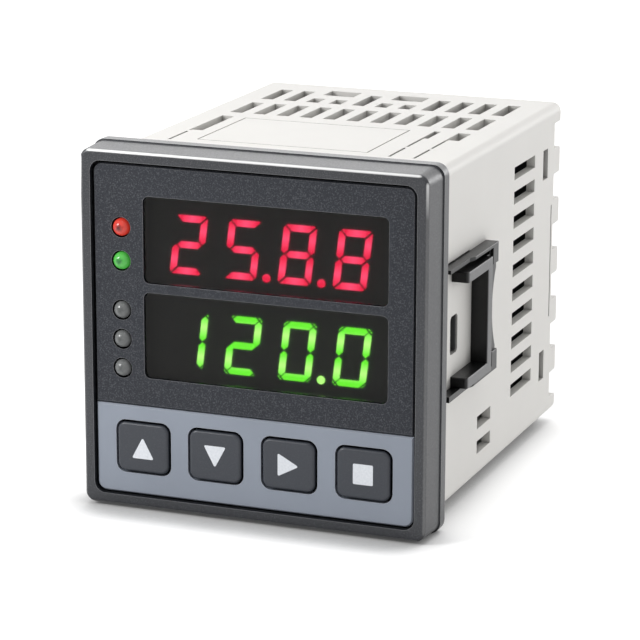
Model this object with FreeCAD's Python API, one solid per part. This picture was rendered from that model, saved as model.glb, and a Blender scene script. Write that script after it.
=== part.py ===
import FreeCAD, Part
import math
import os

from FreeCAD import Vector

# Panel-mount PID temperature controller, 1/16 DIN (48 x 48 mm front), sizes in millimetres.
# The origin is the centre of the panel cut-out in the plane of the panel's front face.
# X points right, Z up and Y into the panel, so the bezel lies at negative Y and the case at positive Y.

# ---- Bezel ----
face_size = 48.0            # outside of the flange, square
bezel_depth = 6.7           # front rim to panel seat
flange_depth = 1.7          # wider band that lies against the panel
flange_step = 0.15          # how far the band stands out of the drafted sides
side_draft = 0.25           # narrowing of each drafted side towards the front
bezel_corner = 1.6
rim_fillet = 0.45
rim_width = 1.4             # front rim, from its outer edge to the recess
ledge_width = 1.7           # shelf that carries the front plates
socket_depth = 0.8          # pocket in the bezel's back that takes the case
collar_length = 2.0         # sleeve that centres the case
collar_wall = 1.3
fit_gap = 0.1               # between pieces that plug into each other

# ---- Case ----
side_overlap = 1.7          # flange beyond the case at each side
top_overlap = 1.55          # flange beyond the case at the top and bottom
case_length = 53.5          # panel seat to the rear edge
side_wall = 1.2
top_wall = 1.5
case_corner = 1.2
inner_corner = 0.6

# ---- Front plates ----
plate_recess = 0.4
plate_thickness = 1.6
plate_gap = 0.3             # dark joint round the plates
plate_corner = 1.2
plate_edge = 0.2            # chamfer on the front edges
key_band_height = 11.9      # lower plate, from its bottom edge to the joint
joint_gap = 0.1             # between the upper and the lower plate

# ---- Display windows ----
window_left_margin = 6.9    # from the plate's edge; holds the lamp column
window_right_margin = 3.5
window_top_margin = 4.0
window_spacing = 1.2        # between the two windows
window_joint_margin = 3.9   # lower window to the plate joint
window_radius = 0.8
lens_recess = 0.35
lens_gap = 0.05
lens_flange = 0.45          # rim of the lens behind the plate
lens_flange_depth = 0.6
digit_count = 4
digit_top_margin = 2.375    # window edge to the digits
digit_bottom_margin = 1.175
digit_side_margin = 2.768
digit_space = 2.9           # between two digits
digit_stroke = 0.97
digit_chamfer = 0.45
digit_gap = 0.13
digit_slant = 7.0           # degrees
dot_diameter = 1.05
segment_depth = 0.2
segment_air = 0.1           # between segments and lens

# ---- Indicator lamps ----
lamp_inset = 3.8            # from the plate's left edge
lamp_diameter = 2.3
lamp_clearance = 0.2
lamp_proud = 0.75           # dome above the plate
upper_lamp_rise = 1.4       # first lamp above the middle of the upper window
upper_lamp_pitch = 4.4
upper_lamp_count = 2
lower_lamp_rise = 3.1       # first lamp above the middle of the lower window
lower_lamp_pitch = 3.87
lower_lamp_count = 3

# ---- Keys ----
key_names = ("up", "down", "run", "stop")
key_side_margin = 3.03      # plate edge to the outer keys
key_spacing = 2.98
key_top_margin = 2.25       # plate joint to the keys
key_bottom_margin = 3.05
key_corner = 1.1
key_edge = 0.4
key_gap = 0.3
key_proud = 0.3
key_travel = 0.5
key_flange = 0.7            # retaining rim behind the plate
key_flange_depth = 0.7
key_play = 0.05
boss_diameter = 3.0
boss_length = 0.5
plunger_diameter = 3.4
plunger_length = 0.7
switch_size = 6.0

# ---- Boards ----
board_thickness = 1.6
board_seat = 0.2            # front board's face behind the panel seat
board_inset = 6.1           # side boards' middle from the side walls
board_margin = 2.95         # side boards' edges from the top and bottom walls
transformer_size = (13.0, 18.0, 16.0)
transformer_y = 24.0
transformer_edge = 4.0      # from the board's lower edge
relay_size = (10.0, 19.0, 15.5)
relay_gap = 4.0             # relay to the terminal block
relay_edge = 2.25           # from the board's upper edge
capacitor_diameter = 10.0
capacitor_length = 13.0
capacitor_y = 24.0
capacitor_gap = 4.0         # to the transformer

# ---- Terminals ----
terminal_count = 6          # per side
terminal_end_margin = 0.7   # case's top or bottom to the outer bay
tab_height = 3.6            # castellation between two terminals
notch_depth = 2.7
tab_radius = 0.35
block_depth = 10.0          # block's inner face from the case's rear edge
bay_depth = 6.5             # seat of the contacts from the rear edge
bay_length = 11.1           # tower to the side wall
tower_recess = 0.5
barrier_thickness = 1.2
barrier_recess = 0.7
screw_inset = 5.5           # screw axis from the inside of the side wall
screw_head_margin = 0.2     # contact beside the head
screw_head_height = 1.9
screw_diameter = 3.0
screw_length = 3.0
cross_width = 0.8
cross_length = 3.0
cross_depth = 1.0
contact_thickness = 0.8
contact_gap = 0.225         # contact to the barriers
contact_length = 8.4

# ---- Vents and openings in the case ----
side_vent_count = 10
side_vent_height = 1.75
side_vent_top_margin = 6.2  # middle of the top slot from the case's top
side_vent_low_margin = 8.3  # middle of the lowest long slot from the case's bottom
side_vent_inset = 21.1      # start of the slots from the rear edge
side_vent_length = 9.3
low_slot_count = 2
low_slot_margin = 4.27      # middle of the lowest short slot from the case's bottom
low_slot_pitch = 3.42
low_slot_start = 17.9
low_slot_length = 5.7
latch_window_height = 4.2
latch_window_length = 2.2
latch_window_inset = 7.9    # start of the window from the rear edge
latch_window_top_margin = 7.6   # middle of the upper window from the case's top
latch_window_low_margin = 8.25  # middle of the lower window from the case's bottom
latch_length = 1.3
latch_recess = 0.5          # latch below the outside of the case
wall_groove_z = 0.35
wall_groove_inset = 3.8
wall_groove_width = 0.4
wall_groove_depth = 0.3
wall_groove_length = 16.2
top_vent_count = 11
top_vent_margin = 5.2       # outer columns from the case's sides
top_vent_width = 1.8
rear_row_inset = 13.05      # start of the rear row from the rear edge
rear_row_length = 8.05
row_pitch = 11.1
middle_row_length = 8.1
wide_slot_count = 2         # each replaces the rear half of two columns
narrow_column_count = 2     # before the first wide slot
column_group_count = 3      # columns from one wide slot to the next
square_length = 3.2
wide_width = 4.6
wide_length = 3.6
label_width = 24.0
label_x = -2.4
label_start = 9.6
label_line = 0.2            # engraved border of the blank label field
label_depth = 0.15
label_end_gap = 0.5         # the label field ends this far before the front slots
front_slot_gap = 2.75       # front slots to the middle row
left_slot_length = 11.0
right_slot_length = 5.2
narrow_slot_offset = 1.25   # columns from the right front slot to the narrow one
groove_width = 0.35
groove_depth = 0.35
groove_start = 8.3
groove_break = 0.8          # each groove has a short break in its middle

# ---- Bezel latch ----
hook_start = 6.45
hook_length = 2.4
hook_width = 4.6
hook_recess = 0.5           # tip of the hook below the outside of the case
hook_play = 0.25            # between the hook and its window
hook_window_corner = 0.6
finger_width = 6.4
finger_length = 10.0

# ---- Mounting clips ----
clip_z = 0.89               # middle between the arms
clip_front = 2.1
clip_end = 20.4
clip_air = 0.05             # between the clip and the case
clip_arm_space = 12.6       # between the arms
clip_arm = 1.4
clip_arm_front = 6.45
clip_rise = 2.35            # arms and bridge above the case wall
clip_nose = 0.4             # rounding of the arm tips
clip_bridge_start = 14.6
clip_bridge_depth = 1.75
clip_bar = 0.5              # bar along the upper edge
clip_slot = 0.66            # upper arm to the bar
clip_slot_end = 17.6
clip_skirt = 0.77           # low strip under the lower arm
clip_thin = 1.38            # height of the bar and the skirt in front of the ramp
clip_thick = 1.8            # behind the ramp
clip_ramp_start = 9.6
clip_ramp_end = 10.8
clip_plate = 1.45           # plate behind the bridge
clip_ear = 2.75             # blocks at both ends of the finger grip
clip_ear_start = 18.2
clip_grip = 10.6            # height of the finger grip
clip_waist = 1.4            # its depth
clip_edge = 0.12
foot_start = 3.5
foot_length = 4.0
foot_hook = 0.7
foot_lip = 0.6
foot_gap = 0.15
slide_forward = 1.1
slide_back = 6.0

# ---- Derived sizes ----
rim_plane = -bezel_depth
plate_face = rim_plane + plate_recess
plate_back = plate_face + plate_thickness
drafted_back = face_size - 2 * flange_step
drafted_front = drafted_back - 2 * side_draft
recess_size = drafted_front - 2 * rim_width
plate_size = recess_size - 2 * plate_gap
ledge_opening = recess_size - 2 * ledge_width
case_width = face_size - 2 * side_overlap
case_height = face_size - 2 * top_overlap
inner_width = case_width - 2 * side_wall
inner_height = case_height - 2 * top_wall
collar_width = inner_width - 2 * fit_gap
collar_height = inner_height - 2 * fit_gap
board_width = collar_width - 2 * collar_wall - 2 * fit_gap
board_face_height = collar_height - 2 * collar_wall - 2 * fit_gap
plate_half = plate_size / 2
joint_z = key_band_height - plate_half
window_width = plate_size - window_left_margin - window_right_margin
window_height = (plate_half - window_top_margin - window_spacing - window_joint_margin - joint_z) / 2
window_x = (window_left_margin - window_right_margin) / 2
upper_window_z = plate_half - window_top_margin - window_height / 2
lower_window_z = upper_window_z - window_height - window_spacing
digit_height = window_height - digit_top_margin - digit_bottom_margin
digit_base = digit_bottom_margin - window_height / 2
digit_lean = math.tan(math.radians(digit_slant))
digit_row_width = window_width - 2 * digit_side_margin - digit_lean * digit_height
digit_width = (digit_row_width - (digit_count - 1) * digit_space) / digit_count
digit_pitch = digit_width + digit_space
lamp_x = lamp_inset - plate_half
key_row_width = plate_size - 2 * key_side_margin
key_width = (key_row_width - (len(key_names) - 1) * key_spacing) / len(key_names)
key_pitch = key_width + key_spacing
key_height = key_band_height - key_top_margin - key_bottom_margin
key_z = joint_z - key_top_margin - key_height / 2
lens_back = plate_back + lens_flange_depth
module_face = lens_back + segment_air + segment_depth
board_back = board_seat + board_thickness
key_face = plate_face - key_proud
key_flange_back = plate_back + key_play + key_flange_depth
boss_end = key_flange_back + boss_length
plunger_top = boss_end + key_travel + key_play
block_front = case_length - block_depth
bay_floor = case_length - bay_depth
tower_end = case_length - tower_recess
barrier_end = case_length - barrier_recess
tower_half_width = inner_width / 2 - bay_length
screw_x = inner_width / 2 - screw_inset
terminal_pitch = (case_height - 2 * terminal_end_margin) / terminal_count
contact_width = terminal_pitch - barrier_thickness - 2 * contact_gap
screw_head_diameter = contact_width - 2 * screw_head_margin
bay_zs = [(i - (terminal_count - 1) / 2) * terminal_pitch for i in range(terminal_count)]
barrier_zs = [(i - (terminal_count - 2) / 2) * terminal_pitch for i in range(terminal_count - 1)]
notch_height = terminal_pitch - tab_height
clip_arm_outside = clip_arm_space / 2 + clip_arm
clip_top = clip_arm_outside + clip_slot + clip_bar
clip_bottom = -clip_arm_outside - clip_skirt
case_side = case_width / 2
case_top = case_height / 2
board_x = inner_width / 2 - board_inset
board_height = inner_height - 2 * board_margin
relay_y = block_front - relay_gap - relay_size[1] / 2
transformer_z = transformer_edge + (transformer_size[2] - board_height) / 2
relay_z = (board_height - relay_size[2]) / 2 - relay_edge
capacitor_z = transformer_z + (transformer_size[2] + capacitor_diameter) / 2 + capacitor_gap
side_vent_start = case_length - side_vent_inset
side_vent_top = case_top - side_vent_top_margin
side_vent_pitch = (case_height - side_vent_top_margin - side_vent_low_margin) / (side_vent_count - 1)
latch_window_zs = (case_top - latch_window_top_margin, latch_window_low_margin - case_top)
latch_window_start = case_length - latch_window_inset
wall_groove_y = case_length - wall_groove_inset
rear_row_start = case_length - rear_row_inset
middle_row_start = rear_row_start - row_pitch
front_slot_end = middle_row_start - front_slot_gap
label_length = front_slot_end - label_end_gap - label_start
top_vent_pitch = (case_width - 2 * top_vent_margin) / (top_vent_count - 1)


def box(x0, x1, y0, y1, z0, z1):
    """Box between two corners."""
    return Part.makeBox(x1 - x0, y1 - y0, z1 - z0, Vector(x0, y0, z0))


def outline(width, height, radius, y, x=0.0, z=0.0):
    """Rounded rectangle in a plane of constant y."""
    a, b = width / 2, height / 2
    c = radius * (1 - math.sqrt(0.5))
    lines = []
    corners = ((1, 1), (-1, 1), (-1, -1), (1, -1))
    starts = ((a, b - radius), (-a + radius, b), (-a, -b + radius), (a - radius, -b))
    ends = ((a - radius, b), (-a, b - radius), (-a + radius, -b), (a, -b + radius))

    def at(u, v):
        return Vector(x + u, y, z + v)

    for i, (sx, sz) in enumerate(corners):
        middle = at(sx * (a - c), sz * (b - c))
        lines.append(Part.Arc(at(*starts[i]), middle, at(*ends[i])).toShape())
        lines.append(Part.LineSegment(at(*ends[i]), at(*starts[(i + 1) % 4])).toShape())
    return Part.Wire(lines)


def prism(width, height, radius, y0, y1, x=0.0, z=0.0):
    """Rounded block that runs along y."""
    face = Part.Face(outline(width, height, radius, y0, x, z))
    return face.extrude(Vector(0, y1 - y0, 0))


def rod(diameter, y0, y1, x, z):
    """Round bar along y."""
    return Part.makeCylinder(diameter / 2, y1 - y0, Vector(x, y0, z), Vector(0, 1, 0))


def plate_outline(points, y):
    """Straight-sided outline in a plane of constant y, from (x, z) points."""
    corners = [Vector(px, y, pz) for px, pz in points]
    return Part.makePolygon(corners + corners[:1])


def edges_on_plane(shape, y, half_size=None):
    """Edges that lie in the plane y, or only those on its outer border."""
    found = []
    for edge in shape.Edges:
        limits = edge.BoundBox
        flat = abs(limits.YMin - y) < 1e-4 and abs(limits.YMax - y) < 1e-4
        reach = max(abs(limits.XMin), abs(limits.XMax), abs(limits.ZMin), abs(limits.ZMax))
        if flat and (half_size is None or reach > half_size):
            found.append(edge)
    return found


def mirrored(shape):
    """The same piece on the other side of the case."""
    return shape.mirror(Vector(0, 0, 0), Vector(1, 0, 0))


def export(name, shape):
    """Write one piece."""
    shape.exportStep("parts/" + name + ".step")


# ---- Front ----

def make_bezel():
    front = outline(drafted_front, drafted_front, bezel_corner - side_draft, rim_plane)
    back = outline(drafted_back, drafted_back, bezel_corner, -flange_depth)
    body = Part.makeLoft([front, back], True, True)
    body = body.makeFillet(rim_fillet, edges_on_plane(body, rim_plane))
    body = body.fuse(prism(face_size, face_size, bezel_corner, -flange_depth, 0))
    body = body.fuse(prism(collar_width, collar_height, inner_corner, -socket_depth, collar_length))
    web_front = -flange_depth
    cuts = [
        prism(recess_size, recess_size, plate_corner + plate_gap, rim_plane, plate_back),
        prism(ledge_opening, ledge_opening, plate_corner, plate_back, web_front),
        prism(board_width + 2 * fit_gap, board_face_height + 2 * fit_gap, inner_corner,
              web_front, collar_length),
    ]
    socket = prism(case_width + 2 * fit_gap, case_height + 2 * fit_gap, case_corner, -socket_depth, 0)
    collar = prism(collar_width, collar_height, inner_corner, -socket_depth, 0)
    cuts.append(socket.cut(collar))
    body = body.cut(Part.makeCompound(cuts))
    finger = make_latch_finger()
    return body.fuse([finger, mirrored(finger)]).removeSplitter()


def make_latch_finger():
    """Springy finger on the collar; its hook snaps into the case wall."""
    outside = collar_width / 2
    half = finger_width / 2
    finger = box(outside - collar_wall, outside, collar_length, finger_length, -half, half)
    tip = case_side - hook_recess
    points = (
        Vector(outside, hook_start, 0),
        Vector(tip, hook_start, 0),
        Vector(tip, hook_start + hook_length / 4, 0),
        Vector(outside, hook_start + hook_length, 0),
    )
    hook = Part.Face(Part.makePolygon(points + points[:1])).extrude(Vector(0, 0, hook_width))
    hook.translate(Vector(0, 0, -hook_width / 2))
    return finger.fuse(hook)


def make_front_plate():
    """Whole recessed plate, before it is split into fascia and key band."""
    return prism(plate_size, plate_size, plate_corner, plate_face, plate_back)


def chamfer_front(piece):
    """Break the front edges of a plate."""
    return piece.makeChamfer(plate_edge, edges_on_plane(piece, plate_face))


def make_fascia():
    half = plate_half
    upper = make_front_plate().cut(box(-half, half, plate_face, plate_back, -half, joint_z + joint_gap))
    upper = chamfer_front(upper)
    for z in (upper_window_z, lower_window_z):
        window = prism(window_width, window_height, window_radius, plate_face, plate_back, window_x, z)
        upper = upper.cut(window)
    for z in lamp_positions():
        hole = lamp_diameter + 2 * lamp_clearance
        upper = upper.cut(rod(hole, plate_face, plate_back, lamp_x, z))
    return upper


def make_key_band():
    half = plate_half
    lower = make_front_plate().cut(box(-half, half, plate_face, plate_back, joint_z, half))
    lower = chamfer_front(lower)
    for x in key_positions():
        opening = prism(key_width + 2 * key_gap, key_height + 2 * key_gap, key_corner + key_gap,
                        plate_face, plate_back, x, key_z)
        lower = lower.cut(opening)
    return lower


def lamp_positions():
    upper = [upper_window_z + upper_lamp_rise - i * upper_lamp_pitch for i in range(upper_lamp_count)]
    lower = [lower_window_z + lower_lamp_rise - i * lower_lamp_pitch for i in range(lower_lamp_count)]
    return upper + lower


def key_positions():
    middle = (len(key_names) - 1) / 2
    return [(i - middle) * key_pitch for i in range(len(key_names))]


def make_lamp(z):
    """Domed light pipe from the front board through the fascia."""
    radius = lamp_diameter / 2
    tip = plate_face - lamp_proud
    shoulder = tip + radius
    bend = radius * math.sqrt(0.5)
    profile = [
        Part.LineSegment(Vector(0, tip, 0), Vector(0, board_seat, 0)).toShape(),
        Part.LineSegment(Vector(0, board_seat, 0), Vector(radius, board_seat, 0)).toShape(),
        Part.LineSegment(Vector(radius, board_seat, 0), Vector(radius, shoulder, 0)).toShape(),
        Part.Arc(Vector(radius, shoulder, 0), Vector(bend, shoulder - bend, 0), Vector(0, tip, 0)).toShape(),
    ]
    lamp = Part.Face(Part.Wire(profile)).revolve(Vector(0, 0, 0), Vector(0, 1, 0), 360)
    lamp.translate(Vector(lamp_x, 0, z))
    return lamp


def make_lens(z):
    """Tinted window: a plug in the fascia with a rim behind it."""
    plug = prism(window_width - 2 * lens_gap, window_height - 2 * lens_gap, window_radius,
                 plate_face + lens_recess, plate_back, window_x, z)
    rim = prism(window_width + 2 * lens_flange, window_height + 2 * lens_flange, window_radius,
                plate_back, lens_back, window_x, z)
    return plug.fuse(rim).removeSplitter()


# ---- Digits ----

def segment_points(letter):
    """Mitred outline of one of the seven segments, upright, from the digit's lower left corner."""
    w, h, t, c = digit_width, digit_height, digit_stroke, digit_chamfer
    mid, half = h / 2, t / 2
    upper_left = [(c / 2, h - c / 2), (0, h - c), (0, mid + c), (half, mid), (t, mid + half), (t, h - t)]
    top = [(c, h), (w - c, h), (w - c / 2, h - c / 2), (w - t, h - t), (t, h - t), (c / 2, h - c / 2)]
    middle = [(half, mid), (t, mid + half), (w - t, mid + half),
              (w - half, mid), (w - t, mid - half), (t, mid - half)]
    shapes = {
        "a": top,
        "b": [(w - u, v) for u, v in upper_left],
        "c": [(w - u, h - v) for u, v in upper_left],
        "d": [(u, h - v) for u, v in top],
        "e": [(u, h - v) for u, v in upper_left],
        "f": upper_left,
        "g": middle,
    }
    return shapes[letter]


digit_segments = {"0": "abcdef", "1": "bc", "2": "abged", "5": "afgcd", "8": "abcdefg"}


def make_digits(reading, window_z):
    """Lit segments of a four-digit display; a dot in the reading follows its digit."""
    base_z = window_z + digit_base
    x = window_x - window_width / 2 + digit_side_margin
    front = module_face - segment_depth
    lit = []
    for mark in reading:
        if mark == ".":
            dot_x = x - (digit_pitch - digit_width) / 2
            lit.append(rod(dot_diameter, front, module_face, dot_x, base_z + dot_diameter / 2))
            continue
        for letter in digit_segments[mark]:
            points = [(x + u + digit_lean * v, base_z + v) for u, v in segment_points(letter)]
            border = plate_outline(points, front).makeOffset2D(-digit_gap / 2, 2)
            lit.append(Part.Face(border).extrude(Vector(0, segment_depth, 0)))
        x += digit_pitch
    return Part.makeCompound(lit)


def make_display(z):
    """Body of one display module, between the lens and the front board."""
    half_w = window_width / 2 + lens_flange
    half_h = window_height / 2 + lens_flange
    return box(window_x - half_w, window_x + half_w, module_face, board_seat, z - half_h, z + half_h)


# ---- Keys ----

def make_key(x):
    """Moulded key cap with a retaining rim and a boss that pushes the switch."""
    cap = prism(key_width, key_height, key_corner, key_face, plate_back + key_play, x, key_z)
    cap = cap.makeFillet(key_edge, edges_on_plane(cap, key_face))
    rim = prism(key_width + 2 * key_flange, key_height + 2 * key_flange, key_corner,
                plate_back + key_play, key_flange_back, x, key_z)
    boss = rod(boss_diameter, key_flange_back, boss_end, x, key_z)
    return cap.fuse([rim, boss]).removeSplitter()


def make_switch(x):
    """Tactile switch on the front board."""
    body_front = plunger_top + plunger_length
    half = switch_size / 2
    body = box(x - half, x + half, body_front, board_seat, key_z - half, key_z + half)
    return body.fuse(rod(plunger_diameter, plunger_top, body_front, x, key_z))


# ---- Case ----

def side_vents():
    """Slots in the right wall, as one cutter."""
    x0, x1 = case_side - 2 * side_wall, case_side + side_wall
    half = side_vent_height / 2
    cutters = []
    for i in range(side_vent_count):
        z = side_vent_top - i * side_vent_pitch
        cutters.append(box(x0, x1, side_vent_start, side_vent_start + side_vent_length, z - half, z + half))
    for i in range(low_slot_count):
        z = low_slot_margin - case_top + i * low_slot_pitch
        cutters.append(box(x0, x1, low_slot_start, low_slot_start + low_slot_length, z - half, z + half))
    for z in latch_window_zs:
        z0 = z - latch_window_height / 2
        cutters.append(box(x0, x1, latch_window_start, latch_window_start + latch_window_length,
                           z0, z0 + latch_window_height))
    z0 = wall_groove_z - wall_groove_length / 2
    cutters.append(box(case_side - wall_groove_depth, x1, wall_groove_y, wall_groove_y + wall_groove_width,
                       z0, z0 + wall_groove_length))
    return cutters


def side_fittings():
    """Openings in the right wall for the bezel's hook and the clip's feet."""
    x0, x1 = case_side - 2 * side_wall, case_side + side_wall
    half = hook_width / 2 + hook_play
    window = box(x0, x1, hook_start - hook_play, hook_start + hook_length + hook_play, -half, half)
    corners = [edge for edge in window.Edges if edge.BoundBox.XLength > side_wall]
    cutters = [window.makeFillet(hook_window_corner, corners)]
    start = foot_start - slide_forward - foot_gap
    end = foot_start + foot_length + slide_back + foot_gap
    for outer, inner in clip_feet():
        low, high = sorted((clip_z + outer, clip_z + inner))
        cutters.append(box(x0, x1, start, end, low - foot_gap, high + foot_gap))
    return cutters


def vent_rows(z0, z1):
    """Slots in the top or bottom wall, between two heights."""
    half = top_vent_width / 2
    middle = (top_vent_count - 1) / 2
    middle_end = middle_row_start + middle_row_length
    rear_end = rear_row_start + rear_row_length
    lefts = [narrow_column_count + i * column_group_count for i in range(wide_slot_count)]
    pairs = [(left, left + 1) for left in lefts]
    square_columns = [column for pair in pairs for column in pair]
    cutters = []
    for i in range(top_vent_count):
        x = (i - middle) * top_vent_pitch
        cutters.append(box(x - half, x + half, middle_row_start, middle_end, z0, z1))
        end = rear_row_start + square_length if i in square_columns else rear_end
        cutters.append(box(x - half, x + half, rear_row_start, end, z0, z1))
    for left, right in pairs:
        x = ((left + right) / 2 - middle) * top_vent_pitch
        wide_start = rear_end - wide_length + top_wall
        cutters.append(box(x - wide_width / 2, x + wide_width / 2, wide_start, rear_end + top_wall, z0, z1))
    return cutters


def top_details():
    """Label field, front slots and guide grooves in the top wall."""
    top = case_top + top_wall
    through = case_top - 2 * top_wall
    half = top_vent_width / 2
    outer_x = (top_vent_count - 1) / 2 * top_vent_pitch
    left, right = label_x - label_width / 2, label_x + label_width / 2
    field = box(left, right, label_start, label_start + label_length, case_top - label_depth, top)
    inside = box(left + label_line, right - label_line, label_start + label_line,
                 label_start + label_length - label_line, case_top - label_depth, top)
    cutters = [field.cut(inside)]
    inner_x = outer_x - narrow_slot_offset * top_vent_pitch
    groove_floor = case_top - groove_depth
    groove_end = front_slot_end - right_slot_length
    left_start = front_slot_end - left_slot_length
    cutters.append(box(-outer_x - half, -outer_x + half, left_start, front_slot_end, through, top))
    cutters.append(box(outer_x - half, outer_x + half, groove_end, front_slot_end, through, top))
    cutters.append(box(inner_x, inner_x + half, groove_end, front_slot_end, through, top))
    middle = (groove_start + groove_end) / 2
    for x in (-outer_x - half, outer_x - half, inner_x):
        for y0, y1 in ((groove_start, middle - groove_break / 2), (middle + groove_break / 2, groove_end)):
            cutters.append(box(x, x + groove_width, y0, y1, groove_floor, top))
    return cutters


def terminal_notches():
    """Wire gaps between the tabs of the rear edge, through both side walls."""
    half = notch_height / 2
    reach = case_side + side_wall
    start = case_length - notch_depth
    return [box(-reach, reach, start, case_length + notch_depth, z - half, z + half) for z in bay_zs]


def make_case():
    """Vented case with a castellated rear edge, moulded in one piece."""
    shell = prism(case_width, case_height, case_corner, -socket_depth, case_length)
    hollow = prism(inner_width, inner_height, inner_corner, -socket_depth, case_length)
    shell = shell.cut(hollow)
    shell = shell.cut(Part.makeCompound(terminal_notches()))
    tab_edges = []
    for edge in shell.Edges:
        limits = edge.BoundBox
        at_end = abs(limits.YMin - case_length) < 1e-4 and abs(limits.YMax - case_length) < 1e-4
        across = limits.ZLength < 1e-4 and abs(limits.XLength - side_wall) < 1e-4
        if at_end and across:
            tab_edges.append(edge)
    shell = shell.makeFillet(tab_radius, tab_edges)
    right = side_vents() + side_fittings()
    cutters = right + [mirrored(cutter) for cutter in right]
    cutters += vent_rows(case_top - 2 * top_wall, case_top + top_wall)
    cutters += vent_rows(-case_top - top_wall, -case_top + 2 * top_wall)
    cutters += top_details()
    for cutter in cutters:
        shell = shell.cut(cutter)
    return shell


# ---- Rear ----

def make_terminal_block():
    """Screw terminal block: base, tower between the two columns, and barriers."""
    half_w = inner_width / 2 - fit_gap
    half_h = inner_height / 2 - fit_gap
    block = prism(2 * half_w, 2 * half_h, inner_corner, block_front, bay_floor)
    pieces = [box(-tower_half_width, tower_half_width, bay_floor, tower_end, -half_h, half_h)]
    for z in barrier_zs:
        half = barrier_thickness / 2
        pieces.append(box(-half_w, half_w, bay_floor, barrier_end, z - half, z + half))
    reach = case_side - latch_recess
    for z in latch_window_zs:
        half = latch_window_height / 2 - fit_gap
        start = latch_window_start + fit_gap
        pieces.append(box(-reach, reach, start, start + latch_length, z - half, z + half))
    block = block.fuse(pieces).removeSplitter()
    for side in (-1, 1):
        for z in bay_zs:
            hole = screw_diameter + fit_gap
            depth = contact_thickness + screw_length
            block = block.cut(rod(hole, bay_floor + contact_thickness - depth, bay_floor, side * screw_x, z))
    return block


def make_contact(side, z):
    """Metal terminal plate in its bay."""
    x = side * screw_x
    half_l, half_w = contact_length / 2, contact_width / 2
    plate = box(x - half_l, x + half_l, bay_floor, bay_floor + contact_thickness, z - half_w, z + half_w)
    hole = rod(screw_diameter + fit_gap, bay_floor, bay_floor + contact_thickness, x, z)
    return plate.cut(hole)


def make_screw(side, z):
    """Terminal screw with a cross recess."""
    x = side * screw_x
    seat = bay_floor + contact_thickness
    top = seat + screw_head_height
    head = rod(screw_head_diameter, seat, top, x, z)
    shank = rod(screw_diameter, seat - screw_length, seat, x, z)
    long, wide = cross_length / 2, cross_width / 2
    bars = [box(x - long, x + long, top - cross_depth, top, z - wide, z + wide),
            box(x - wide, x + wide, top - cross_depth, top, z - long, z + long)]
    return head.fuse(shank).cut(bars[0].fuse(bars[1]))


# ---- Boards ----

def make_front_board():
    return prism(board_width, board_face_height, inner_corner, board_seat, board_back)


def make_side_board(side):
    x = side * board_x
    half = board_thickness / 2
    return box(x - half, x + half, board_back, block_front, -board_height / 2, board_height / 2)


def make_block_on_board(side, size, y, z):
    """Boxed component standing on the inner face of a side board."""
    tall, long, high = size
    face = side * (board_x - board_thickness / 2)
    x0, x1 = sorted((face, face - side * tall))
    return box(x0, x1, y - long / 2, y + long / 2, z - high / 2, z + high / 2)


def make_capacitor():
    face = board_x - board_thickness / 2
    return Part.makeCylinder(capacitor_diameter / 2, capacitor_length,
                             Vector(-face, capacitor_y, capacitor_z), Vector(1, 0, 0))


# ---- Mounting clip ----

def clip_box(x0, x1, y0, y1, z0, z1):
    """Box in the clip's own measure: x from the case wall, z from the clip's middle."""
    return box(case_side + x0, case_side + x1, y0, y1, clip_z + z0, clip_z + z1)


def clip_feet():
    """Outer and inner edge of the upper and of the lower foot."""
    return ((clip_top, clip_top - clip_bar), (clip_bottom, clip_bottom + clip_bar))


def clip_strip(z0, z1, ear_z):
    """Bar or skirt with a ramp, and the block behind it that reaches to ear_z."""
    low, high, wall = case_side + clip_thin, case_side + clip_thick, case_side + clip_air
    profile = ((wall, clip_front), (low, clip_front), (low, clip_ramp_start), (high, clip_ramp_end),
               (high, clip_end), (wall, clip_end))
    corners = [Vector(x, y, clip_z + z0) for x, y in profile]
    strip = Part.Face(Part.makePolygon(corners + corners[:1])).extrude(Vector(0, 0, z1 - z0))
    near, far = sorted((ear_z, z0 if ear_z > z0 else z1))
    strip = strip.fuse(clip_box(clip_air, clip_thick, clip_ear_start, clip_end, near, far)).removeSplitter()
    crown = [edge for edge in strip.Edges
             if edge.BoundBox.XMin > low - clip_air and edge.BoundBox.YMax > clip_ramp_end]
    return strip.makeFillet(clip_edge, crown)


def make_clip_plate():
    """Plate behind the bridge, with the rounded finger grip in its rear edge."""
    half = clip_grip / 2
    x = case_side + clip_air

    def at(y, z):
        return Vector(x, y, clip_z + z)

    sides = [
        Part.LineSegment(at(clip_bridge_start, clip_top), at(clip_end, clip_top)).toShape(),
        Part.LineSegment(at(clip_end, clip_top), at(clip_end, half)).toShape(),
        Part.Arc(at(clip_end, half), at(clip_end - clip_waist, 0), at(clip_end, -half)).toShape(),
        Part.LineSegment(at(clip_end, -half), at(clip_end, clip_bottom)).toShape(),
        Part.LineSegment(at(clip_end, clip_bottom), at(clip_bridge_start, clip_bottom)).toShape(),
        Part.LineSegment(at(clip_bridge_start, clip_bottom), at(clip_bridge_start, clip_top)).toShape(),
    ]
    plate = Part.Face(Part.Wire(sides)).extrude(Vector(clip_plate - clip_air, 0, 0))
    slot = clip_box(0, clip_plate, clip_front, clip_slot_end, clip_arm_outside, clip_top - clip_bar)
    return plate.cut(slot)


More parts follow.
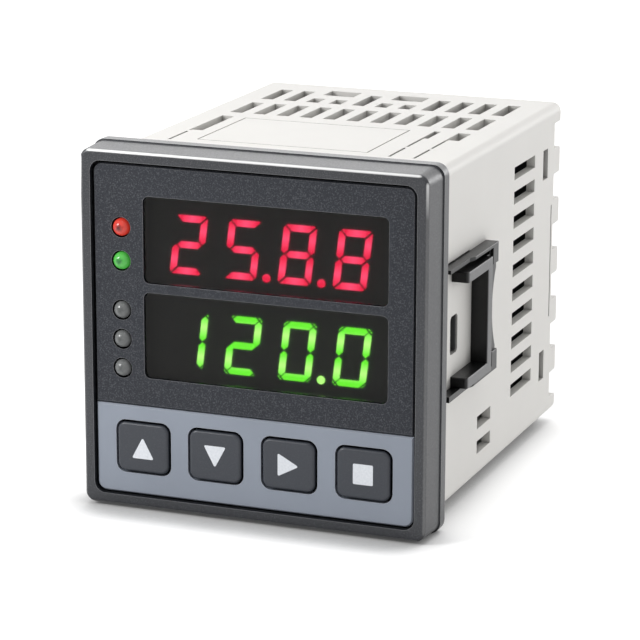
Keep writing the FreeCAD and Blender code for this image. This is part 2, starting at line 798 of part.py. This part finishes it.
def make_clip_fork():
    """Two arms joined by the bridge, with rounded tips."""
    inside = clip_arm_space / 2
    bridge_end = clip_bridge_start + clip_bridge_depth
    fork = clip_box(clip_air, clip_rise, clip_arm_front, bridge_end, -clip_arm_outside, clip_arm_outside)
    fork = fork.cut(clip_box(0, clip_rise, clip_arm_front, clip_bridge_start, -inside, inside))
    outer_x = case_side + clip_rise
    noses = [edge for edge in fork.Edges
             if edge.BoundBox.XMin > outer_x - clip_air and edge.BoundBox.YMax < clip_arm_front + clip_air]
    fork = fork.makeFillet(clip_nose, noses)
    crown = [edge for edge in fork.Edges if edge.BoundBox.XMin > outer_x - clip_air]
    return fork.makeFillet(clip_edge, crown)


def make_clip():
    """Slide-on panel clip for the right side."""
    pieces = [
        clip_strip(clip_top - clip_bar, clip_top, clip_top - clip_ear),
        clip_strip(clip_bottom, clip_bottom + clip_skirt, clip_bottom + clip_ear),
        make_clip_fork(),
    ]
    pieces += [make_clip_foot(outer, inner) for outer, inner in clip_feet()]
    return make_clip_plate().fuse(pieces).removeSplitter()


def make_clip_foot(outer, inner):
    """Hooked foot that runs in the case wall."""
    inside = -side_wall - foot_gap
    z0, z1 = sorted((outer, inner))
    neck = clip_box(inside, clip_air, foot_start, foot_start + foot_length, z0, z1)
    hook_tip = outer + math.copysign(foot_hook, outer - inner)
    h0, h1 = sorted((hook_tip, inner))
    hook = clip_box(inside - foot_lip, inside, foot_start, foot_start + foot_length, h0, h1)
    return neck.fuse(hook)


def main():
    os.makedirs("parts", exist_ok=True)
    export("bezel", make_bezel())
    export("fascia", make_fascia())
    export("key_band", make_key_band())
    export("lens_upper", make_lens(upper_window_z))
    export("lens_lower", make_lens(lower_window_z))
    export("display_upper", make_display(upper_window_z))
    export("display_lower", make_display(lower_window_z))
    export("digits_upper", make_digits("25.8.8", upper_window_z))
    export("digits_lower", make_digits("120.0", lower_window_z))
    for number, z in enumerate(lamp_positions(), 1):
        export("lamp_%d" % number, make_lamp(z))
    for name, x in zip(key_names, key_positions()):
        export("key_" + name, make_key(x))
        export("switch_" + name, make_switch(x))
    export("front_board", make_front_board())
    export("left_board", make_side_board(-1))
    export("right_board", make_side_board(1))
    export("transformer", make_block_on_board(-1, transformer_size, transformer_y, transformer_z))
    export("relay", make_block_on_board(1, relay_size, relay_y, relay_z))
    export("capacitor", make_capacitor())
    export("case", make_case())
    export("terminal_block", make_terminal_block())
    for side, column in ((1, "right"), (-1, "left")):
        for number, z in enumerate(reversed(bay_zs), 1):
            export("contact_%s_%d" % (column, number), make_contact(side, z))
            export("screw_%s_%d" % (column, number), make_screw(side, z))
    clip = make_clip()
    export("clip_right", clip)
    export("clip_left", mirrored(clip))


main()
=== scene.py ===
import math

import bmesh
import bpy
from mathutils import Matrix, Vector


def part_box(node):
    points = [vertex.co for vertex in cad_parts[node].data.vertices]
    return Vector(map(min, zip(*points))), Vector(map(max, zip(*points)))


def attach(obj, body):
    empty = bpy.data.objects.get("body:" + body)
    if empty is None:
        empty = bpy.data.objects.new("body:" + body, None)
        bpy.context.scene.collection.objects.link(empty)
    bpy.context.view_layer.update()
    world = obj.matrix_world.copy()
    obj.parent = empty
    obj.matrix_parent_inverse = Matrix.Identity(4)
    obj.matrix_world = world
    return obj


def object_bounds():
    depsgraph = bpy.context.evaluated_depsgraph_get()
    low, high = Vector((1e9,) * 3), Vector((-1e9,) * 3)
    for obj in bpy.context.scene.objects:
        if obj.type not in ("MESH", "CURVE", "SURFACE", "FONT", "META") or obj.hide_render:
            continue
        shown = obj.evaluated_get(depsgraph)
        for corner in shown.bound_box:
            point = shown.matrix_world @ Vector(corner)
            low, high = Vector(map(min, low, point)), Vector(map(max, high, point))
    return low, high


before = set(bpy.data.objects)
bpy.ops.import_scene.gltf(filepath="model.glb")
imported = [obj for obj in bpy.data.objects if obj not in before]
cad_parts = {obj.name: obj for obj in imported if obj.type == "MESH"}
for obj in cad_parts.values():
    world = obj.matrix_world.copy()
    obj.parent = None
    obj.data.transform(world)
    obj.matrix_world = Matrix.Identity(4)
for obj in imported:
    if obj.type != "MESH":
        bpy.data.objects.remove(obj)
cad_low, cad_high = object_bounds()

MM = 0.001                      # the frame is in metres; sizes below are in millimetres

# ---- Camera ----
CAMERA_AZIMUTH = 21.27          # degrees round the object from the front
CAMERA_ELEVATION = 14.58
CAMERA_ROLL = 0.16
CAMERA_DISTANCE = 397.0
CAMERA_ASIDE = -2.06            # optical axis off the middle of the object
CAMERA_ABOVE = -3.9
CAMERA_LENS = 164.2
CAMERA_NEAREST = 10.0

# ---- Light ----
SKY_STRENGTH = 0.5
LAMPS = (                       # name, direction, distance, width, height, power in watts
    ("top light", (0.1, 0.15, 1), 600, 260, 260, 0.68),
    ("front light", (-1, -0.9, 0.8), 200, 70, 70, 0.24),
    ("back light", (0.1, 1, 0.26), 900, 1300, 420, 2.2),
    ("side light", (0.7, 1, 0.15), 900, 700, 250, 1.42),
)

# ---- Floor ----
FLOOR_SIZE = 4000.0
FLOOR_PALE = 0.94               # share of the light that the open floor gives back
FLOOR_GREY = 0.5                # and the floor under the object, darkened as painted shadow
FLOOR_LIFT = 0.42               # added to the lit floor where it is seen, so that it reads as white
FLOOR_LEAST_LIFT = 0.06         # the same close to the object, lower there as painted shadow
CONTACT_SHADOW = 7.0            # painted shadow: the floor's colour darkens this near to the object
CONTACT_LEAN = (0.1, 0.85, 0.5)     # direction of the open sky in that shadow
CONTACT_RANGE = (0.35, 0.9)     # open share of that sky, from the greyest floor to the palest
LIFT_RANGE = (0.5, 1.0)

# ---- Finishes ----
BLACK = (0.003, 0.003, 0.003, 1.0)
WHITE = (1.0, 1.0, 1.0, 1.0)
PAINTED_SHADE_REACH = 2.2              # a surface this near to others is in a recess, which gets painted shade
PAINTED_SHADE_RANGE = (0.15, 0.75)     # open share of the sky, from the fullest painted shade to none
# colour of the painted shade in recesses
PAINTED_SHADE_GREY = (0.05, 0.05, 0.048, 1.0)
# pale edges: partly wear, partly painted highlight
EDGE_WEAR_AND_HIGHLIGHT_RADIUS = 0.12
EDGE_WEAR_AND_HIGHLIGHT_TURN = 0.8                 # cosine between the face and its rounded edge where the pale edge is full
WORN_AND_HIGHLIGHT_PALE = (0.75, 0.76, 0.78, 1.0)
CLOUD_SIZE = 9.0
SPECK_RANGE = (0.5, 0.75)       # noise values at which a speck starts and is full
PALE_SPECK_SIZE = 0.16
PALE_SPECK = (0.42, 0.43, 0.46, 1.0)
DARK_SPECK_SIZE = 0.22
DARK_SPECK = (0.006, 0.006, 0.008, 1.0)
# painted highlight along the bezel's outer front edge
RIM_SET_BACK = 0.65             # draft and rounding of the bezel's front edge
RIM_LINE = 0.1
RIM_FADE = (6.0, 1.0)           # below the top, where the painted highlight line grows from faint to full
RIM_FAINT = 0.12
CLIP_PAINTED_SHEEN = (0.14, 0.04)      # painted sheen, below the clip's outermost face, from none to full

# ---- Key icons ----
ICON_THICKNESS = 0.04
ICON_SINK = 0.02
ICON_CORNER = 0.16
TRIANGLE_SIZE = 3.1
TRIANGLE_ASPECT = 0.93
SQUARE_SIZE = 2.7

# ---- Display digits ----
DIGIT_HEIGHT = 7.85
DIGIT_WIDTH = 4.55
DIGIT_PITCH = 7.45
DIGIT_STROKE = 0.97
DIGIT_SLANT = 7.0               # degrees
DIGIT_JOINT = 0.2               # half of the unlit strip between two segments
DIGIT_GLOW = 5.5
DIGIT_REACH = 2.0               # distance from a segment's middle at which its glow ends
DIGIT_EDGE = 0.85               # share of that distance at which the edge colour is full
UPRIGHT_FALL = 1.2              # how much faster an upright segment dims along its length

# ---- Indicator lamps ----
LAMP_STREAK = 0.15              # unevenness of the light in a dome
LAMP_DIE = 0.15                 # radius of the dark middle
LAMP_RING = 0.7                 # radius where the rim's colour is full

# ---- Latch catches ----
CATCH_PROFILE = (               # depth below the side of the case, place along Y
    (1.7, 7.6),
    (0.95, 8.3),
    (0.15, 8.55),
    (0.15, 8.95),
    (1.7, 8.95),
)
CATCH_WIDTH = 4.6
CATCH_ROUND = 0.06


# ---- Node material helpers ----

class Finish:
    """A procedural material; its coordinates are the object's own, in millimetres."""

    def __init__(self, name):
        self.material = bpy.data.materials.new(name)
        self.material.use_nodes = True
        self.tree = self.material.node_tree
        self.tree.nodes.clear()
        self.output = self.node("ShaderNodeOutputMaterial")
        self.shader = self.node("ShaderNodeBsdfPrincipled")
        self.link(self.shader.outputs["BSDF"], self.output.inputs["Surface"])
        coordinates = self.node("ShaderNodeTexCoord")
        scale = self.node("ShaderNodeVectorMath", operation="SCALE")
        self.link(coordinates.outputs["Object"], scale.inputs[0])
        scale.inputs["Scale"].default_value = 1 / MM
        self.place = scale.outputs["Vector"]

    def node(self, kind, **settings):
        made = self.tree.nodes.new(kind)
        for key, value in settings.items():
            setattr(made, key, value)
        return made

    def link(self, source, target):
        self.tree.links.new(source, target)

    def feed(self, target, value):
        """Connect a socket, or set a constant."""
        if isinstance(value, bpy.types.NodeSocket):
            self.link(value, target)
        else:
            target.default_value = value

    def set(self, **values):
        """Values on the shader's own sockets, by socket name with underscores."""
        for key, value in values.items():
            self.feed(self.shader.inputs[key.replace("_", " ")], value)

    def math(self, operation, a, b=0.0):
        made = self.node("ShaderNodeMath", operation=operation)
        self.feed(made.inputs[0], a)
        self.feed(made.inputs[1], b)
        return made.outputs[0]

    def plus(self, a, b):
        return self.math("ADD", a, b)

    def minus(self, a, b):
        return self.math("SUBTRACT", a, b)

    def times(self, a, b):
        return self.math("MULTIPLY", a, b)

    def size(self, a):
        return self.math("ABSOLUTE", a)

    def parts(self):
        """Place on the object along X, Y and Z, in millimetres."""
        made = self.node("ShaderNodeSeparateXYZ")
        self.link(self.place, made.inputs[0])
        return made.outputs

    def noise(self, size, detail=2.0, roughness=0.5, stretch=None):
        """Noise between 0 and 1 with features of about the given size."""
        made = self.node("ShaderNodeTexNoise")
        place = self.place
        if stretch:
            mapping = self.node("ShaderNodeMapping")
            mapping.inputs["Scale"].default_value = stretch
            self.link(place, mapping.inputs["Vector"])
            place = mapping.outputs["Vector"]
        self.link(place, made.inputs["Vector"])
        made.inputs["Scale"].default_value = 1 / size
        made.inputs["Detail"].default_value = detail
        made.inputs["Roughness"].default_value = roughness
        return made.outputs["Fac"]

    def ramp(self, value, stops):
        """Colours at positions between 0 and 1."""
        made = self.node("ShaderNodeValToRGB")
        ramp = made.color_ramp
        while len(ramp.elements) < len(stops):
            ramp.elements.new(1.0)
        for element, (position, colour) in zip(ramp.elements, stops):
            element.position = position
            element.color = colour
        self.link(value, made.inputs["Fac"])
        return made.outputs["Color"]

    def span(self, value, low, high, new_low, new_high):
        """A value's range turned into another one, with nothing outside it."""
        made = self.node("ShaderNodeMapRange")
        self.feed(made.inputs["Value"], value)
        made.inputs["From Min"].default_value = low
        made.inputs["From Max"].default_value = high
        made.inputs["To Min"].default_value = new_low
        made.inputs["To Max"].default_value = new_high
        return made.outputs["Result"]

    def spread(self, noise, low, high):
        """The middle range of a noise, where most of its values are, turned into another range."""
        return self.span(noise, 0.3, 0.7, low, high)

    def mix(self, factor, a, b, blend="MIX"):
        made = self.node("ShaderNodeMix", data_type="RGBA", blend_type=blend)
        self.feed(made.inputs["Factor"], factor)
        self.feed(made.inputs[6], a)
        self.feed(made.inputs[7], b)
        return made.outputs[2]

    def bump(self, height, depth):
        """Relief of the given depth."""
        made = self.node("ShaderNodeBump")
        made.inputs["Strength"].default_value = 1.0
        made.inputs["Distance"].default_value = depth * MM
        self.link(height, made.inputs["Height"])
        return made.outputs["Normal"]

    def edges(self, radius):
        """1 on a convex or concave edge, 0 on open surface."""
        bevel = self.node("ShaderNodeBevel", samples=6)
        bevel.inputs["Radius"].default_value = radius * MM
        geometry = self.node("ShaderNodeNewGeometry")
        dot = self.node("ShaderNodeVectorMath", operation="DOT_PRODUCT")
        self.link(bevel.outputs["Normal"], dot.inputs[0])
        self.link(geometry.outputs["Normal"], dot.inputs[1])
        return self.span(dot.outputs["Value"], 1.0, EDGE_WEAR_AND_HIGHLIGHT_TURN, 0.0, 1.0)

    def openness(self, reach, samples):
        """Share of the sky that nothing nearer than the reach hides, and the node that finds it."""
        made = self.node("ShaderNodeAmbientOcclusion", samples=samples)
        made.inputs["Distance"].default_value = reach * MM
        return made.outputs["AO"], made


def colour(red, green, blue):
    """Linear colour from 8-bit display values."""
    def linear(value):
        share = value / 255
        return share / 12.92 if share <= 0.04045 else ((share + 0.055) / 1.055) ** 2.4
    return (linear(red), linear(green), linear(blue), 1.0)


def assign(slot_name, material):
    """Give every CAD node with this slot the finished material."""
    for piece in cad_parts.values():
        for held in piece.material_slots:
            if held.material.name == slot_name:
                held.material = material


# ---- Moulded plastics ----

def moulded(name, base, roughness, grain_size=0.25, grain_depth=0.003, speck=0.0, mottle=0.04,
            wear_and_highlight=0.12, painted_recess_shade=0.0, gloss=0.5, painted_shade_colour=PAINTED_SHADE_GREY, painted_sheen=None, painted_sheen_colour=None):
    """Moulded plastic: eroded grain, slight mottling, specks, edges paler from wear and painted
    highlight, and painted shade darkening recesses and dimming their reflection.

    A function given for the painted highlight gives the area, from 0 to 1, that has the painted
    highlight colour.
    """
    f = Finish(name)
    grain = f.noise(grain_size, detail=4.0, roughness=0.6)
    cloud = f.noise(CLOUD_SIZE, detail=3.0)
    tinted = f.mix(1.0, base, f.spread(cloud, 1 - mottle, 1 + mottle), "MULTIPLY")
    if speck:
        pale = f.span(f.noise(PALE_SPECK_SIZE, detail=1.0), *SPECK_RANGE, 0.0, speck)
        tinted = f.mix(pale, tinted, PALE_SPECK)
        dark = f.span(f.noise(DARK_SPECK_SIZE, detail=1.0), *SPECK_RANGE, 0.0, 2 * speck)
        tinted = f.mix(dark, tinted, DARK_SPECK)
    # pale edges: partly wear, partly painted highlight
    if wear_and_highlight:
        tinted = f.mix(f.times(f.edges(EDGE_WEAR_AND_HIGHLIGHT_RADIUS), wear_and_highlight), tinted, WORN_AND_HIGHLIGHT_PALE)
    # painted highlight, laid over the area that the given function marks
    if painted_sheen:
        tinted = f.mix(f.times(painted_sheen(f), f.spread(cloud, 0.85, 1.0)), tinted, painted_sheen_colour)
    # painted shade: recesses darkened towards the shade colour, and their reflection weakened
    if painted_recess_shade:
        clear, _ = f.openness(PAINTED_SHADE_REACH, samples=6)
        tinted = f.mix(f.span(clear, *PAINTED_SHADE_RANGE, painted_recess_shade, 0.0), tinted, painted_shade_colour)
        gloss = f.span(clear, *PAINTED_SHADE_RANGE, gloss * (1 - painted_recess_shade), gloss)
    f.set(Base_Color=tinted, Roughness=f.spread(grain, roughness - 0.05, roughness + 0.06))
    f.set(Normal=f.bump(grain, grain_depth), Specular_IOR_Level=gloss)
    return f.material


def rim_painted_highlight(f):
    """Painted highlight along the outer front edge of the bezel, most along its top."""
    low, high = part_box("bezel")
    top = high.z / MM
    parts = f.parts()
    aside = f.math("MAXIMUM", f.size(parts["X"]), f.size(parts["Z"]))
    most = top - low.y / MM - RIM_SET_BACK
    line = f.span(f.minus(aside, parts["Y"]), most - RIM_LINE, most, 0.0, 1.0)
    return f.times(line, f.span(parts["Z"], top - RIM_FADE[0], top - RIM_FADE[1], RIM_FAINT, 1.0))


def clip_outside(f):
    """Outermost faces of the mounting clips, where a painted sheen goes."""
    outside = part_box("clip_right")[1].x / MM
    return f.span(f.size(f.parts()["X"]), outside - CLIP_PAINTED_SHEEN[0], outside - CLIP_PAINTED_SHEEN[1], 0.0, 1.0)


clip_finish = moulded("clip finish", colour(14, 14, 15), 0.32, grain_depth=0.001, wear_and_highlight=0.04,
                      gloss=0.35, painted_recess_shade=0.8, painted_shade_colour=BLACK, painted_sheen=clip_outside,
                      painted_sheen_colour=(0.13, 0.13, 0.135, 1))

assign("bezel_plastic", moulded("bezel finish", colour(38, 40, 45), 0.33, speck=0.13, wear_and_highlight=0.3,
                                gloss=0.55, painted_recess_shade=0.5, painted_shade_colour=BLACK, painted_sheen=rim_painted_highlight, painted_sheen_colour=WHITE))
assign("fascia_plastic", moulded("fascia finish", colour(35, 38, 45), 0.5, speck=0.13, wear_and_highlight=0.25,
                                 gloss=0.3, painted_recess_shade=0.8, painted_shade_colour=BLACK))
assign("band_plastic", moulded("band finish", colour(138, 145, 157), 0.5, grain_depth=0.001,
                               wear_and_highlight=0.3))
assign("key_plastic", moulded("key finish", colour(45, 49, 57), 0.38, grain_depth=0.002, speck=0.03,
                              wear_and_highlight=0.2, painted_recess_shade=0.8, painted_shade_colour=BLACK))
assign("case_plastic", moulded("case finish", colour(229, 227, 223), 0.5, mottle=0.012, wear_and_highlight=0.0,
                               painted_recess_shade=0.75))
assign("terminal_plastic", moulded("terminal finish", colour(28, 30, 32), 0.45))
assign("clip_plastic", clip_finish)
assign("component_black", moulded("component finish", colour(24, 25, 27), 0.5))
assign("capacitor_sleeve", moulded("capacitor finish", colour(32, 34, 60), 0.35))


# ---- Display and lamps ----

def lens_material():
    """Smoked acrylic with a faint smear."""
    f = Finish("lens finish")
    smear = f.noise(6.0, detail=3.0)
    f.set(Base_Color=f.mix(smear, (0.20, 0.20, 0.19, 1), (0.22, 0.22, 0.21, 1)))
    f.set(Roughness=f.spread(smear, 0.28, 0.30), Transmission_Weight=1.0, IOR=1.26)
    return f.material


def module_material():
    f = Finish("display module finish")
    grain = f.noise(0.2, detail=3.0)
    f.set(Base_Color=f.ramp(grain, [(0.3, (0.020, 0.021, 0.017, 1)), (0.7, (0.023, 0.024, 0.020, 1))]))
    f.set(Roughness=0.6)
    return f.material


def segment_material(name, node, edge, middle):
    """Lit segment, brighter at its middle, where its lamp sits, and dark where two of them meet."""
    f = Finish(name)
    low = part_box(node)[0]
    lean = math.tan(math.radians(DIGIT_SLANT))
    parts = f.parts()
    rise = f.minus(parts["Z"], low.z / MM)
    across = f.minus(f.minus(parts["X"], low.x / MM), f.times(rise, lean))
    column = f.math("PINGPONG", f.plus(across, DIGIT_PITCH - DIGIT_WIDTH / 2), DIGIT_PITCH / 2)
    level = f.size(f.minus(rise, DIGIT_HEIGHT / 2))
    upright = f.math("GREATER_THAN", column, DIGIT_WIDTH / 2 - DIGIT_STROKE)
    along_upright = f.times(f.size(f.minus(level, DIGIT_HEIGHT / 4)), UPRIGHT_FALL)
    along = f.mix(upright, column, along_upright)
    glow = f.ramp(f.times(along, 1 / DIGIT_REACH), [(0.0, middle), (DIGIT_EDGE, edge)])
    corner = f.minus(f.minus(level, column), (DIGIT_HEIGHT - DIGIT_WIDTH) / 2)
    waist = f.minus(f.plus(level, column), (DIGIT_WIDTH - DIGIT_STROKE) / 2)
    joint = f.math("MINIMUM", f.size(corner), f.size(waist))
    lit = f.times(f.span(joint, DIGIT_JOINT / 2, DIGIT_JOINT, 0.0, 1.0), DIGIT_GLOW)
    f.set(Base_Color=edge, Roughness=0.5, Emission_Color=glow, Emission_Strength=lit)
    return f.material


def lamp_material(name, nodes, rim, middle, strength):
    """Clear dome: a darker die at its middle and a brighter ring round it."""
    f = Finish(name)
    parts = f.parts()
    nearest = None
    for node in nodes:
        low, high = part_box(node)
        across = f.minus(parts["X"], (low.x + high.x) / 2 / MM)
        rise = f.minus(parts["Z"], (low.z + high.z) / 2 / MM)
        square = f.plus(f.times(across, across), f.times(rise, rise))
        nearest = f.math("MINIMUM", nearest, square) if nearest else square
    streak = f.spread(f.noise(0.5), -LAMP_STREAK, LAMP_STREAK)
    reach = f.plus(f.math("SQRT", nearest), streak)
    body = f.ramp(reach, [(LAMP_DIE, middle), (LAMP_RING, rim)])
    f.set(Base_Color=body, Roughness=0.12, Emission_Color=body, Emission_Strength=strength)
    return f.material


assign("lens_glass", lens_material())
assign("module_black", module_material())
assign("segment_red", segment_material("red segment finish", "digits_upper",
                                       (0.70, 0.003, 0.045, 1), (1.0, 0.06, 0.16, 1)))
assign("segment_green", segment_material("green segment finish", "digits_lower",
                                         (0.12, 0.76, 0.02, 1), (0.46, 1.0, 0.22, 1)))
assign("lamp_red", lamp_material("red lamp finish", ["lamp_1"],
                                 (0.6, 0.04, 0.025, 1), (0.10, 0.01, 0.01, 1), 0.3))
assign("lamp_green", lamp_material("green lamp finish", ["lamp_2"],
                                   (0.07, 0.42, 0.06, 1), (0.02, 0.15, 0.03, 1), 0.3))
assign("lamp_grey", lamp_material("unlit lamp finish", ["lamp_3", "lamp_4", "lamp_5"],
                                  (0.16, 0.165, 0.165, 1), (0.08, 0.085, 0.085, 1), 0.0))


# ---- Metals and board ----

def metal(name, base, roughness):
    """Drawn metal with fine lines along X."""
    f = Finish(name)
    brushed = f.noise(0.3, detail=4.0, stretch=(1.0, 6.0, 6.0))
    f.set(Base_Color=f.mix(f.spread(brushed, 0.0, 0.25), base, (0.2, 0.2, 0.2, 1)))
    f.set(Metallic=1.0, Roughness=f.spread(brushed, roughness - 0.08, roughness + 0.1))
    f.set(Normal=f.bump(brushed, 0.003))
    return f.material


def board_material():
    """Green solder resist over a glass weave."""
    f = Finish("board finish")
    weave = f.noise(0.5, detail=2.0)
    f.set(Base_Color=f.mix(f.spread(weave, 0.0, 0.5), (0.004, 0.03, 0.012, 1), (0.01, 0.05, 0.02, 1)))
    f.set(Roughness=0.4, Normal=f.bump(weave, 0.01))
    return f.material


assign("contact_metal", metal("contact finish", (0.55, 0.53, 0.47, 1), 0.32))
assign("screw_steel", metal("screw finish", (0.46, 0.46, 0.46, 1), 0.28))
assign("board_green", board_material())


# ---- Mesh helpers ----

def extruded(outline, depth):
    """Mesh of a flat outline, extruded by a vector; both in metres."""
    mesh = bmesh.new()
    face = mesh.faces.new([mesh.verts.new(point) for point in outline])
    made = bmesh.ops.extrude_face_region(mesh, geom=[face])
    moved = [v for v in made["geom"] if isinstance(v, bmesh.types.BMVert)]
    bmesh.ops.translate(mesh, verts=moved, vec=depth)
    return mesh


def make_object(name, mesh, material):
    bmesh.ops.recalc_face_normals(mesh, faces=mesh.faces)
    data = bpy.data.meshes.new(name)
    mesh.to_mesh(data)
    mesh.free()
    data.materials.append(material)
    piece = bpy.data.objects.new(name, data)
    bpy.context.scene.collection.objects.link(piece)
    return piece


# ---- Key icons ----

def rounded_polygon(corners, radius, steps=5):
    """Corner points replaced by arcs."""
    points = []
    count = len(corners)
    for i, corner in enumerate(corners):
        before = (corners[i - 1] - corner).normalized()
        after = (corners[(i + 1) % count] - corner).normalized()
        half = before.angle(after) / 2
        reach = radius / math.tan(half)
        start, end = corner + before * reach, corner + after * reach
        middle = corner + (before + after).normalized() * (radius / math.sin(half))
        first = start - middle
        turn = first.angle_signed(end - middle)
        for k in range(steps + 1):
            spin = Matrix.Rotation(-turn * k / steps, 2)
            points.append(middle + spin @ first)
    return points


def make_icon(name, corners, key, material):
    """Thin printed mark on the front of a key cap."""
    low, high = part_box(key)
    middle_x, middle_z = (low.x + high.x) / 2, (low.z + high.z) / 2
    front = low.y - (ICON_THICKNESS - ICON_SINK) * MM
    outline = rounded_polygon([Vector(c) for c in corners], ICON_CORNER)
    ring = [(middle_x + p.x * MM, front, middle_z + p.y * MM) for p in outline]
    return make_object(name, extruded(ring, (0, ICON_THICKNESS * MM, 0)), material)


def print_material():
    f = Finish("icon print finish")
    ink = f.noise(0.3, detail=3.0)
    f.set(Base_Color=f.ramp(ink, [(0.3, colour(216, 220, 226)), (0.7, colour(229, 232, 237))]))
    f.set(Roughness=0.5, Normal=f.bump(ink, 0.003))
    return f.material


def triangle(turn):
    """Triangle that points up, turned clockwise by a number of degrees."""
    half_height = TRIANGLE_SIZE * TRIANGLE_ASPECT / 2
    half = TRIANGLE_SIZE / 2
    spin = Matrix.Rotation(-math.radians(turn), 2)
    return [spin @ Vector(p) for p in ((0, half_height), (-half, -half_height), (half, -half_height))]


def square():
    half = SQUARE_SIZE / 2
    return [(-half, half), (-half, -half), (half, -half), (half, half)]


ink = print_material()
for key, corners in (("up", triangle(0)), ("down", triangle(180)), ("run", triangle(90)),
                     ("stop", square())):
    icon = make_icon("icon_" + key, corners, "key_" + key, ink)
    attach(icon, "key_" + key)


# ---- Latch catches ----

def make_catch(name, sign):
    """Raised end of the bezel's hook, in its window in the side of the case."""
    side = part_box("case")[1].x / MM
    bottom = -CATCH_WIDTH / 2
    ring = [Vector((sign * (side - depth), along, bottom)) * MM for depth, along in CATCH_PROFILE]
    mesh = extruded(ring, (0, 0, CATCH_WIDTH * MM))
    bmesh.ops.bevel(mesh, geom=mesh.edges[:], offset=CATCH_ROUND * MM, segments=2, affect="EDGES")
    # painted shade: the hook end takes the black clip finish, darker than the bezel's own plastic
    return make_object(name, mesh, clip_finish)


for name, sign in (("latch_catch_right", 1), ("latch_catch_left", -1)):
    catch = make_catch(name, sign)
    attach(catch, "case")


# ---- Floor, light and camera ----

def seen_rays(tree):
    """1 for camera, glossy and transmission rays, 0 for the light that falls on surfaces."""
    path = tree.nodes.new("ShaderNodeLightPath")
    largest = path.outputs["Is Camera Ray"]
    for name in ("Is Glossy Ray", "Is Transmission Ray"):
        either = tree.nodes.new("ShaderNodeMath")
        either.operation = "MAXIMUM"
        tree.links.new(largest, either.inputs[0])
        tree.links.new(path.outputs[name], either.inputs[1])
        largest = either.outputs[0]
    return largest


def floor_material():
    """Matt and pale, with painted shadow darkening it close to the object."""
    f = Finish("floor finish")
    clear, contact = f.openness(CONTACT_SHADOW, samples=8)
    lean = f.node("ShaderNodeCombineXYZ")
    for axis, share in zip("XYZ", CONTACT_LEAN):
        lean.inputs[axis].default_value = share
    f.link(lean.outputs["Vector"], contact.inputs["Normal"])
    # painted shadow: the floor's colour and lift darken near the object
    f.set(Base_Color=f.span(clear, *CONTACT_RANGE, FLOOR_GREY, FLOOR_PALE))
    f.set(Roughness=0.9, Specular_IOR_Level=0.0)
    lift = f.times(f.span(clear, *LIFT_RANGE, FLOOR_LEAST_LIFT, FLOOR_LIFT), seen_rays(f.tree))
    f.set(Emission_Color=WHITE, Emission_Strength=lift)
    return f.material


def make_floor():
    half = FLOOR_SIZE * MM / 2
    data = bpy.data.meshes.new("floor")
    corners = [(x * half, y * half, cad_low.z) for x, y in ((-1, -1), (1, -1), (1, 1), (-1, 1))]
    data.from_pydata(corners, [], [(0, 1, 2, 3)])
    data.materials.append(floor_material())
    floor = bpy.data.objects.new("floor", data)
    bpy.context.scene.collection.objects.link(floor)


def make_world():
    """White to the camera and in reflections, softer as a light."""
    world = bpy.data.worlds.new("studio")
    bpy.context.scene.world = world
    world.use_nodes = True
    tree = world.node_tree
    tree.nodes.clear()
    output = tree.nodes.new("ShaderNodeOutputWorld")
    mix = tree.nodes.new("ShaderNodeMixShader")
    tree.links.new(seen_rays(tree), mix.inputs[0])
    for side, strength in ((1, SKY_STRENGTH), (2, 1.0)):
        background = tree.nodes.new("ShaderNodeBackground")
        background.inputs["Color"].default_value = WHITE
        background.inputs["Strength"].default_value = strength
        tree.links.new(background.outputs[0], mix.inputs[side])
    tree.links.new(mix.outputs[0], output.inputs[0])


def make_lamp(name, direction, distance, width, height, power):
    """Soft box that faces the object."""
    data = bpy.data.lights.new(name, "AREA")
    data.shape = "RECTANGLE"
    data.size = width * MM
    data.size_y = height * MM
    data.energy = power
    lamp = bpy.data.objects.new(name, data)
    lamp.location = Vector(direction).normalized() * distance * MM
    lamp.rotation_euler = Vector(direction).to_track_quat("Z", "Y").to_euler()
    bpy.context.scene.collection.objects.link(lamp)


def make_camera():
    azimuth, elevation = math.radians(CAMERA_AZIMUTH), math.radians(CAMERA_ELEVATION)
    back = Vector((math.sin(azimuth) * math.cos(elevation),
                   -math.cos(azimuth) * math.cos(elevation),
                   math.sin(elevation)))
    right = Vector((math.cos(azimuth), math.sin(azimuth), 0))
    above = back.cross(right)
    roll = math.radians(CAMERA_ROLL)
    side = right * math.cos(roll) + above * math.sin(roll)
    top = back.cross(side)
    centre = (cad_low + cad_high) / 2
    aim = centre + (right * CAMERA_ASIDE + above * CAMERA_ABOVE) * MM
    place = Matrix.Translation(aim + back * CAMERA_DISTANCE * MM)
    data = bpy.data.cameras.new("camera")
    data.lens = CAMERA_LENS
    data.clip_start = CAMERA_NEAREST * MM
    camera = bpy.data.objects.new("camera", data)
    camera.matrix_world = place @ Matrix((side, top, back)).transposed().to_4x4()
    bpy.context.scene.collection.objects.link(camera)
    bpy.context.scene.camera = camera


make_floor()
make_world()
for lamp in LAMPS:
    make_lamp(*lamp)
make_camera()
bpy.context.scene.view_settings.view_transform = "Standard"
